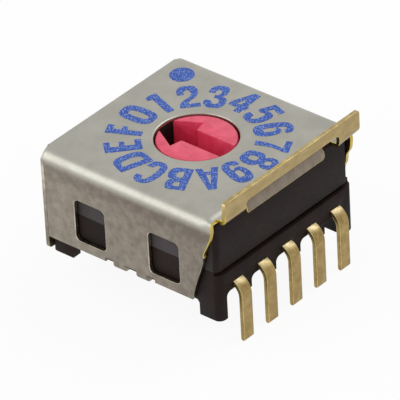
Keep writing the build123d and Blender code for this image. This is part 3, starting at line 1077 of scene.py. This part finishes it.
    def edge_slots(self, middles: np.ndarray) -> np.ndarray:
        """Chooses the finishes of the sheet's edges.

        Args:
            middles: Rows of s and y at the edges' middles.

        Returns:
            Slot numbers: plating round the hole, bright bare brass at the front, the punch's burnish
            and a painted glint beside the windows, and elsewhere bare brass painted grey as shade.
        """
        s, y = middles.T
        height = self.top - self.side_fold - (np.abs(s) - self.fold_end)
        # Cheek edges below these heights are left to the grey of painted shade
        gold = height > np.where(s < 0, *self.gold_above)
        bare = (np.abs(s) > self.flat) & gold & (y < self.bare_before)
        bare |= y < -self.front + self.lip_reach
        across, along = self.window[1] / 2, self.window[0] / 2 + self.window_reach
        window = np.abs(np.abs(s) - self.at_height(self.window_middle)) < across
        window &= (y > self.window_y[0] - along) & (y < self.window_y[1] + along)
        special = (Surface.PLATED, Surface.SHEARED, Surface.WINDOW_EDGE)
        slots = [self.finishes.index(surface) for surface in special]
        # Every other edge is bare brass painted grey as shade
        shaded_edge = self.finishes.index(Surface.SHEARED_PLATED)
        return np.select([self.near_hole(middles), bare, window], slots, shaded_edge)

    def skin_slots(self, middles: np.ndarray) -> np.ndarray:
        """Chooses the finishes of the plated skin.

        Args:
            middles: Rows of s and y at the triangles' middles.

        Returns:
            Slot numbers: scuffed plating on the tongue, and plain plating elsewhere.
        """
        s, y = np.abs(middles[:, 0]), middles[:, 1]
        tongue = (s < self.tongue_half) & (y < self.tongue_root) & (y > self.tongue_tip)
        return np.where(tongue, self.finishes.index(Surface.SCUFFED), 0)

    def edge_directions(self, home: np.ndarray, outward: np.ndarray) -> np.ndarray:
        """Directions out of the folded sheet: each folded point less one a short step inside."""
        inner = home - outward * self.short_step
        return unit(self.fold(home, 0.0)[0] - self.fold(inner, 0.0)[0])

    def build(self) -> bpy.types.Object:
        """Builds the cover: two skins of the blank, joined by rounded sheared edges.

        Returns:
            The cover piece, riding on the housing.
        """
        edges = (self.outline(), *self.holes())
        loops = [inset(loop, self.roll_at(loop)[:, None]) for loop in edges]
        sheet = self.thicken(*triangulate(loops, self.creases()))
        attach(sheet, "housing")
        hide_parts("cover")
        return sheet

    def thicken(self, flat: np.ndarray, triangles: np.ndarray) -> bpy.types.Object:
        """Gives the blank its two skins and its rim, and folds all three.

        The rim follows the skin's own border edges, so that every seam closes. Its section is a
        rounded corner, a straight wall and another, smaller corner. A ring of the rim lies off
        the skin's edge by its reach times the mitre, along the folded edge's outward direction.

        Args:
            flat: Rows of s and y of one skin.
            triangles: Its triangles, counter-clockwise.

        Returns:
            The cover's mesh.
        """
        count = len(flat)
        a, b = border_edges(triangles, count).T
        along = unit(flat[b] - flat[a])
        normal = np.column_stack([along[:, 1], -along[:, 0]])
        outward = np.zeros((count, 2))
        np.add.at(outward, a, normal)
        np.add.at(outward, b, normal)
        rim = np.flatnonzero(np.linalg.norm(outward, axis=1) > NO_LENGTH)
        outward = unit(outward)
        mitre = np.zeros(count)
        np.maximum.at(mitre, a, (outward[a] * normal).sum(axis=1))
        mitre = 1 / np.maximum(mitre[rim], LEAST_SPREAD)
        order = np.zeros(count, int)
        order[rim] = np.arange(len(rim))
        home, roll = flat[rim], self.roll_at(flat[rim])
        rings = [
            (roll * math.sin(angle), roll * (1 - math.cos(angle)), angle)
            for angle in np.radians(self.roll_angles)
        ]
        rings += [(roll, self.sheet - self.burr, math.pi / 2)]
        rings += [(roll - self.burr, self.sheet, math.pi)]
        top, top_normal = self.fold(flat, 0.0)
        below, below_normal = self.fold(flat, self.sheet)
        places, normals = [top, below], [top_normal, -below_normal]
        edge_out = self.edge_directions(home, outward[rim])
        chain = [(a, b)]
        for number, (out, depth, angle) in enumerate(rings):
            place, up = self.fold(home, depth)
            places.append(place + edge_out * (out * mitre)[:, None])
            lean = max(math.sin(angle), self.least_lean)
            normals.append(unit(edge_out * lean + up * math.cos(angle)))
            level = 2 * count + number * len(rim)
            chain.append((level + order[a], level + order[b]))
        chain.append((a + count, b + count))
        strips = [np.column_stack([u[0], v[0], v[1], u[1]]) for u, v in zip(chain, chain[1:])]
        faces = [triangles, triangles[:, ::-1] + count, *strips]
        slots = [
            self.skin_slots(flat[triangles].mean(axis=1)),
            np.full(len(triangles), self.finishes.index(Surface.BARE_BRASS)),
            np.tile(self.edge_slots((flat[a] + flat[b]) / 2), len(strips)),
        ]
        return mesh_object(
            "cover_sheet",
            np.concatenate(places),
            [face for group in faces for face in group.tolist()],
            self.finishes,
            np.concatenate(slots),
            np.concatenate(normals),
        )


@dataclass
class CastPiece:
    """A CAD solid whose copy gets softened edges and its finish.

    Attributes:
        node: The CAD node.
        surface: Its finish.
        slot: The record's material slot; not used.
        soften: Width of the softened edges, in mm.
        segments: Facets across a softened edge.
        edge: Finish of the softened edges, where it isn't that of the faces.
        sides: Finish of the faces towards -X and +X, where it differs.
        trim: A corner cut off, as a point of the cut, in mm, and its outward direction.
        crown: How much higher the topmost face stands, in mm.
    """

    node: str
    surface: Surface
    slot: str
    soften: float = 0.02
    segments: int = 2
    edge: Surface | None = None
    sides: Surface | None = None
    trim: tuple[Triple, Triple] | None = None
    crown: float = 0.0
    sharp_angle: float = 38.0  # edges that turn more than this are softened
    top_depth: float = 0.02  # what counts as the topmost face, in mm from its highest point
    side_share: float = 0.95  # least share of X in the normal of a face that counts as a side

    def build(self) -> bpy.types.Object:
        """Copies the solid, merges its loose triangles and rounds its edges.

        Returns:
            The piece, riding on its body in the node's place.
        """
        mesh = frame["nodes"][self.node].data.copy()
        piece = place_object(f"{self.node}_dressed", mesh)
        weld(mesh, self.trim)
        self.raise_crown(mesh)
        self.dress(mesh)
        bevel = piece.modifiers.new("softened_edges", "BEVEL")
        bevel.width = self.soften * MM
        bevel.segments = self.segments
        bevel.limit_method = "ANGLE"
        bevel.angle_limit = math.radians(self.sharp_angle)
        bevel.harden_normals = True
        bevel.use_clamp_overlap = True
        if self.edge:
            bevel.material = 1
        bodies = frame["record"]["behaviour"]["bodies"]
        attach(piece, next(body for body, nodes in bodies.items() if self.node in nodes))
        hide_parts(self.node)
        return piece

    def raise_crown(self, mesh: bpy.types.Mesh) -> None:
        """Lifts the topmost face by the crown.

        Args:
            mesh: The mesh to change.
        """
        spots = np.empty(3 * len(mesh.vertices), np.float32)
        mesh.vertices.foreach_get("co", spots)
        z = spots[2::3]
        z += np.where(z > z.max() - self.top_depth * MM, self.crown * MM, 0)
        mesh.vertices.foreach_set("co", spots)

    def dress(self, mesh: bpy.types.Mesh) -> None:
        """Gives the mesh its finish, and its sides or softened edges theirs in slot 1.

        Args:
            mesh: The mesh to change.
        """
        normals = np.empty(3 * len(mesh.polygons))
        mesh.polygons.foreach_get("normal", normals)
        sideways = (np.abs(normals[::3]) > self.side_share) & (self.sides is not None)
        mesh.materials.clear()
        for surface in (self.surface, self.edge or self.sides):
            if surface:
                mesh.materials.append(surface.material())
        mesh.polygons.foreach_set("material_index", sideways.astype(np.int32))
        mesh.polygons.foreach_set("use_smooth", np.ones(len(mesh.polygons), bool))


def weld(mesh: bpy.types.Mesh, trim: tuple[Triple, Triple] | None) -> None:
    """Merges a mesh's loose triangles and dissolves the edges inside flat faces.

    Args:
        mesh: The mesh to change.
        trim: A point, in mm, and the outward direction of a plane that cuts a corner off.
    """
    near, straight = 0.0005 * MM, math.radians(0.6)  # points that merge, edges that dissolve
    work = bmesh.new()
    work.from_mesh(mesh)
    bmesh.ops.remove_doubles(work, verts=work.verts, dist=near)
    if trim:
        point, way = trim
        cut = bmesh.ops.bisect_plane(
            work,
            geom=[*work.verts, *work.edges, *work.faces],
            plane_co=[v * MM for v in point],
            plane_no=way,
            clear_outer=True,
        )
        rim = [item for item in cut["geom_cut"] if isinstance(item, bmesh.types.BMEdge)]
        bmesh.ops.holes_fill(work, edges=rim)
    bmesh.ops.dissolve_limit(
        work,
        angle_limit=straight,
        use_dissolve_boundaries=False,
        verts=work.verts,
        edges=work.edges,
        delimit=set(),
    )
    work.to_mesh(mesh)
    work.free()


# Outlines of the dial's characters, in hundredths of a mm to the right and up from their
# middles. The first loop is the stroke's outside, the others are its counters. A third number
# is the reach of a sharper corner's rounding.
GLYPHS: dict[str, tuple[tuple[tuple[float, ...], ...], ...]] = {
    "0": (
        ((2, 70), (28, 68), (48, 42), (48, -42), (28, -68), (2, -70), (-24, -68), (-44, -42),
         (-44, 42), (-24, 68)),
        ((2.5, 40), (15, 36), (18, 0), (15, -38), (2.5, -42), (-10, -38), (-13, 0), (-10, 36)),
    ),
    "1": (
        ((-10, -66, 5), (21.5, -66, 5), (21.5, 66, 5), (3, 66, 5), (-27.5, 58, 5), (-27.5, 36, 5),
         (-10, 36, 3)),
    ),
    "2": (
        ((-36, -66, 5), (-36, -46), (-26, -24), (6, -2), (13, 14), (14, 36), (2, 46), (-9, 38),
         (-11, 16, 5), (-36, 16, 5), (-38, 46), (-22, 70), (5, 72), (30, 70), (43, 48), (42, 18),
         (30, -4), (8, -22), (-2, -34), (-1, -43, 2), (40.5, -43, 4), (40.5, -66, 5)),
    ),
    "3": (
        ((-37, 23, 4), (-37, 50), (-20, 70), (5, 72), (30, 68), (38, 45), (34, 20), (20, 4, 3),
         (40, -4), (43, -38), (28, -66), (2, -71), (-25, -68), (-42, -45), (-39, -23, 4),
         (-12, -23, 4), (-10, -42), (2, -47), (13, -40), (13, -18), (3, -8), (-10, -8, 3),
         (-10, 13, 3), (3, 13), (10, 22), (10, 38), (2, 46), (-8, 42), (-11, 23, 4)),
    ),
    "4": (
        ((-1, 68, 4), (27.5, 68, 4), (27.5, -13, 2), (37, -13, 3), (37, -35, 3), (27.5, -35, 2),
         (27.5, -60, 4), (-1, -60, 4), (-1, -35, 2), (-42, -35, 4), (-42, -12, 4)),
        ((0, 24, 2), (0, -13, 2), (-19, -13, 2)),
    ),
    "5": (
        ((-26, 68, 4), (36, 68, 4), (36, 44, 4), (-4, 44, 2), (-7, 22, 2), (10, 28), (36, 24),
         (45, -6), (42, -44), (22, -68), (-5, -71), (-30, -66), (-41, -46), (-38, -30, 4),
         (-11, -30, 4), (-9, -43), (2, -48), (13, -40), (14, -18), (10, 2), (0, 7), (-10, 2),
         (-12, -4, 4), (-36, 0, 4)),
    ),
    "6": (
        ((37, 38, 4), (34, 62), (12, 72), (-14, 70), (-36, 50), (-38, 10), (-38, -32), (-26, -64),
         (2, -72), (30, -66), (44, -35), (42, 4), (26, 28), (8, 28), (-7, 16, 2), (-8, 38), (3, 50),
         (11, 44), (12, 36, 4)),
        ((4.5, 10), (16, 6), (17, -30), (4.5, -36), (-7, -30), (-7, 6)),
    ),
    "7": (
        ((-35, 68, 4), (38, 68, 4), (38, 48, 8), (20, 18), (11, -18), (10, -60, 4), (-18, -60, 4),
         (-15, -20), (0, 20), (13, 43, 2), (-35, 43, 4)),
    ),
    "8": (
        ((-1, 71), (24, 70), (37, 52), (35, 24), (20, 11, 4), (42, -2), (43, -40), (28, -67),
         (-2, -71), (-32, -67), (-46, -40), (-45, -2), (-23, 11, 4), (-38, 24), (-39, 52),
         (-26, 70)),
        ((-1, 51), (11, 47), (11, 28), (-1, 24), (-13, 28), (-13, 47)),
        ((-2, -6), (12, -10), (12, -38), (-2, -43), (-16, -38), (-16, -10)),
    ),
    "A": (
        ((-20, 68, 4), (12, 68, 4), (40, -66, 4), (13, -66, 4), (9, -43, 2), (-13, -43, 2),
         (-17, -66, 4), (-45, -66, 4)),
        ((-3, 32, 2), (-10, -24, 2), (5, -24, 2)),
    ),
    "B": (
        ((-39, -66, 4), (-39, 66, 4), (5, 66), (36, 64), (42, 35), (38, 12), (24, 4, 3), (44, -4),
         (48, -40), (32, -66), (5, -66)),
        ((-10, 45, 3), (8, 45), (15, 33), (8, 20), (-10, 20, 3)),
        ((-10, -8, 3), (8, -8), (17, -25), (8, -44), (-10, -44, 3)),
    ),
    "C": (
        ((44, 30, 4), (40, 58), (18, 72), (-9, 72), (-34, 50), (-40, 0), (-34, -50), (-9, -70),
         (18, -70), (40, -58), (45, -26, 4), (16, -26, 4), (14, -40), (5, -47), (-7, -38), (-10, 0),
         (-7, 40), (5, 50), (14, 42), (16, 30, 4)),
    ),
    "D": (
        ((-40.5, -62, 4), (-40.5, 66, 4), (5, 66), (38, 60), (50, 24), (50, -24), (38, -56),
         (5, -62)),
        ((-12.5, 42, 3), (4, 42), (17, 30), (20, 0), (17, -30), (4, -39), (-12.5, -39, 3)),
    ),
    "E": (
        ((-33, -66, 4), (-33, 66, 4), (34.5, 66, 4), (34.5, 42, 4), (1, 42, 2), (1, 13, 2),
         (29, 13, 4), (29, -8, 4), (1, -8, 2), (1, -42, 2), (34.5, -42, 4), (34.5, -66, 4)),
    ),
    "F": (
        ((-29, -66, 4), (-29, 66, 4), (26, 66, 4), (26, 42, 4), (1, 42, 2), (1, 13, 2), (23, 13, 4),
         (23, -8, 4), (1, -8, 2), (1, -66, 4)),
    ),
}
# The nine is a six turned upside down
GLYPHS["9"] = tuple(tuple((-p[0], -p[1], *p[2:]) for p in loop) for loop in GLYPHS["6"])


@dataclass
class Dial:
    """The numbers round the rotor and the index dot, printed on the plate.

    Sizes are in mm. Each character stands upright round its own middle before it is placed.
    """

    order: str = "0123456789ABCDEF"
    middle: Pair = (-0.015, -0.073)
    radius: float = 2.52
    first_angle: float = -3.0
    size: Pair = (0.94, 0.975)
    thinning: float = 0.008  # taken off every side of the strokes
    plate: float = PLATE_TOP
    ink: float = 0.007
    sunk: float = 0.002
    dot: Pair = (2.63, 2.86)
    dot_radius: float = 0.435
    dot_steps: int = 48

    def drawn(self, loop: Sequence[Sequence[float]], counter: bool) -> np.ndarray:
        """Scales and rounds an outline, and thins the stroke.

        Args:
            loop: The outline's points, in hundredths of a mm.
            counter: Whether the stroke lies outside the loop.

        Returns:
            Rows of x and y, with the stroke on their left.
        """
        outline = rounded([[v / 100 for v in point] for point in loop]) * np.array(self.size)
        after = np.roll(outline, -1, axis=0)
        area = (outline[:, 0] * after[:, 1] - outline[:, 1] * after[:, 0]).sum()
        return inset(outline if (area > 0) != counter else outline[::-1], self.thinning)

    def placed(self, outline: np.ndarray, position: int) -> np.ndarray:
        """Turns a character clockwise to its position, with its top outward.

        Args:
            outline: Rows of x and y.
            position: The position's number.

        Returns:
            Rows of x and y on the plate.
        """
        angle = math.radians(self.first_angle + 360 / len(self.order) * position)
        right = np.array([math.cos(angle), -math.sin(angle)])
        out = np.array([math.sin(angle), math.cos(angle)])
        return np.array(self.middle) + outline[:, :1] * right + (outline[:, 1:] + self.radius) * out

    def build(self) -> bpy.types.Object:
        """Fills every outline and gives it the thickness of the ink.

        Returns:
            The print, riding on the housing.
        """
        loops = [
            self.placed(self.drawn(loop, number > 0), position)
            for position, name in enumerate(self.order)
            for number, loop in enumerate(GLYPHS[name])
        ]
        loops.append(arc(self.dot, self.dot_radius, 0, 360, self.dot_steps)[:-1])
        flat, triangles = triangulate(loops)
        count = len(flat)
        a, b = border_edges(triangles, count).T
        heights = np.repeat([self.plate + self.ink, self.plate - self.sunk], count)
        points = np.column_stack([np.tile(flat, (2, 1)), heights])
        rim = np.column_stack([a + count, b + count, b, a])
        faces = [*triangles.tolist(), *(triangles[:, ::-1] + count).tolist(), *rim.tolist()]
        piece = mesh_object("dial_print", points, faces, [Surface.INK])
        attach(piece, "housing")
        return piece


@dataclass(frozen=True)
class Lamp:
    """A square soft box.

    Attributes:
        name: Its name.
        way: Direction from the switch to it.
        size: Its side, in mm.
        power: Its power, in watts.
        distance: How far from the switch it hangs, in mm.
    """

    name: str
    way: Triple
    size: float
    power: float
    distance: float = 120.0

    def build(self) -> None:
        """Hangs the soft box so that it faces the switch."""
        back = np.array(self.way) / np.linalg.norm(self.way)
        right = np.cross([0.0, 0.0, 1.0], back)
        right /= np.linalg.norm(right)
        data = bpy.data.lights.new(self.name, "AREA")
        data.shape = "SQUARE"
        data.size = self.size * MM
        data.energy = self.power
        lamp = place_object(self.name, data)
        lamp.matrix_world = standing(back * self.distance, right, np.cross(back, right), back)


@dataclass
class Studio:
    """Floor, light and camera.

    Attributes:
        floor_z: Height of the floor, in mm, at the terminals' tips.
        floor_half: Half the floor's side, in mm.
        floor_white: Share of pure white in the floor that a camera or a mirror sees.
        floor_grey: The floor's own colour, which the light bounces off.
        light: Strength of the world's light, and of the white that the camera sees of it.
        distance: Camera to the middle of the view, in mm.
        azimuth: Camera's azimuth, in degrees.
        elevation: Camera's elevation, in degrees.
        roll: Camera's roll, in degrees.
        scale: Pixels of the picture for each mm at the middle of the view.
        aim: Where the rotor's axis meets the plate, in pixels from the picture's middle.
        plate_top: Height of the plate, in mm.
        picture: Width of the picture, in pixels.
        sensor: Width of the camera's sensor, in mm.
        clip: Nearest and furthest that the camera sees, in mm.
        lamps: The soft boxes.
    """

    floor_z: float = -0.95
    floor_half: float = 400.0
    floor_white: float = 0.92
    floor_grey: float = 0.8
    light: Pair = (0.8, 1.0)
    distance: float = 201.48
    azimuth: float = -48.18
    elevation: float = 33.73
    roll: float = 3.19
    scale: float = 30.111
    aim: Pair = (-3.40, 63.41)
    plate_top: float = PLATE_TOP
    picture: int = 400
    sensor: float = 36.0
    clip: Pair = (10.0, 2000.0)
    lamps: tuple[Lamp, ...] = (
        Lamp("key", (-0.85, 0.50, 0.19), 150.0, 0.09),
        Lamp("fill", (0.62, -0.25, 0.74), 70.0, 0.04),
    )

    def build(self) -> None:
        """Builds the stage, the lamps and the camera."""
        self.build_floor()
        self.build_world()
        for lamp in self.lamps:
            lamp.build()
        self.build_camera()

    def build_floor(self) -> None:
        """Lays a pale floor that shows white and keeps a light shadow."""
        corners = [(-1, -1), (1, -1), (1, 1), (-1, 1)]
        points = [(x * self.floor_half, y * self.floor_half, self.floor_z) for x, y in corners]
        mesh = bpy.data.meshes.new("floor")
        mesh.from_pydata((np.array(points) * MM).tolist(), [], [(0, 1, 2, 3)])
        paper = bpy.data.materials.new("white_paper_sweep")
        tree = fresh_tree(paper)
        path = add_node(tree, "ShaderNodeLightPath").outputs
        seen = path["Is Camera Ray"]
        for ray in ("Is Glossy Ray", "Is Transmission Ray"):
            links = {0: seen, 1: path[ray]}
            seen = add_node(tree, "ShaderNodeMath", links=links, operation="MAXIMUM").outputs[0]
        part = {1: self.floor_white}
        share = add_node(tree, "ShaderNodeMath", part, {0: seen}, operation="MULTIPLY")
        grey = {"Color": (*[self.floor_grey] * 3, 1)}
        matt = add_node(tree, "ShaderNodeBsdfDiffuse", grey)
        white = add_node(tree, "ShaderNodeEmission", {"Color": (1, 1, 1, 1), "Strength": 1.0})
        links = {0: share.outputs[0], 1: matt.outputs[0], 2: white.outputs[0]}
        mix = add_node(tree, "ShaderNodeMixShader", links=links)
        add_node(tree, "ShaderNodeOutputMaterial", links={"Surface": mix.outputs[0]})
        mesh.materials.append(paper)
        floor = place_object("floor", mesh)

    def build_world(self) -> None:
        """Gives soft light from all round, seen as white."""
        world = bpy.data.worlds.new("soft_room")
        tree = fresh_tree(world)
        seen = add_node(tree, "ShaderNodeLightPath").outputs["Is Camera Ray"]
        ends = dict(zip(("To Min", "To Max"), self.light))
        strength = add_node(tree, "ShaderNodeMapRange", ends, {"Value": seen}).outputs["Result"]
        white = {"Color": (1, 1, 1, 1)}
        sky = add_node(tree, "ShaderNodeBackground", white, {"Strength": strength})
        add_node(tree, "ShaderNodeOutputWorld", links={"Surface": sky.outputs[0]})
        bpy.context.scene.world = world

    def build_camera(self) -> None:
        """Sets the camera as the photograph's perspective gives it."""
        a, e, r = (math.radians(v) for v in (self.azimuth, self.elevation, self.roll))
        back = np.array([math.sin(a) * math.cos(e), -math.cos(a) * math.cos(e), math.sin(e)])
        right = np.array([math.cos(a), math.sin(a), 0.0])
        up = np.cross(back, right)
        right, up = math.cos(r) * right - math.sin(r) * up, math.sin(r) * right + math.cos(r) * up
        across, down = self.aim[0] / self.scale, self.aim[1] / self.scale
        place = right * -across + up * -down + back * self.distance
        place[2] += self.plate_top
        data = bpy.data.cameras.new("camera")
        data.sensor_width = self.sensor
        data.lens = self.scale * self.distance / self.picture * self.sensor
        data.clip_start, data.clip_end = (v * MM for v in self.clip)
        camera = place_object("camera", data)
        camera.matrix_world = standing(place, right, up, back)
        bpy.context.scene.camera = camera


@dataclass
class Switch:
    """The whole switch: its folded cover, its print, and its moulded and stamped pieces."""

    cover: Cover = field(default_factory=Cover)
    dial: Dial = field(default_factory=Dial)
    cast: tuple[CastPiece, ...] = (
        CastPiece(
            "upper_case", Surface.MOULDED_BLACK, "moulding",
            # Its sides take the lighter grey of painted sheen
            sides=Surface.MOULDED_GREY,
            trim=((3.27, -3.645, 0.0), (0.667, -0.745, 0.0)),
        ),
        CastPiece("base", Surface.MOULDED_BLACK, "moulding"),
        CastPiece("rotor", Surface.MOULDED_RED, "rotor_plastic", 0.03, crown=0.05),
        CastPiece("code_disc", Surface.CONTACT, "contact_brass", 0.01, 1),
        CastPiece("seal_ring", Surface.RUBBER, "seal_rubber"),
        CastPiece("detent_spring", Surface.SPRING, "spring_steel", 0.01, 1),
        *(
            CastPiece(f"terminal_{c}", Surface.STRIP, "terminal_strip", edge=Surface.STRIP_EDGE)
            for c in "12c48"
        ),
    )

    def build(self) -> None:
        """Builds every piece in order and reports it."""
        for part in (self.cover, self.dial, *self.cast):
            piece = part.build()
            log.info("%s: %d faces", piece.name, len(piece.data.polygons))


def main() -> None:
    """Builds the switch and its studio."""
    logging.basicConfig(level=logging.INFO, format="%(name)s: %(message)s")
    bpy.context.scene.view_settings.view_transform = "Standard"
    Switch().build()
    Studio().build()


if __name__ == "__main__":
    main()
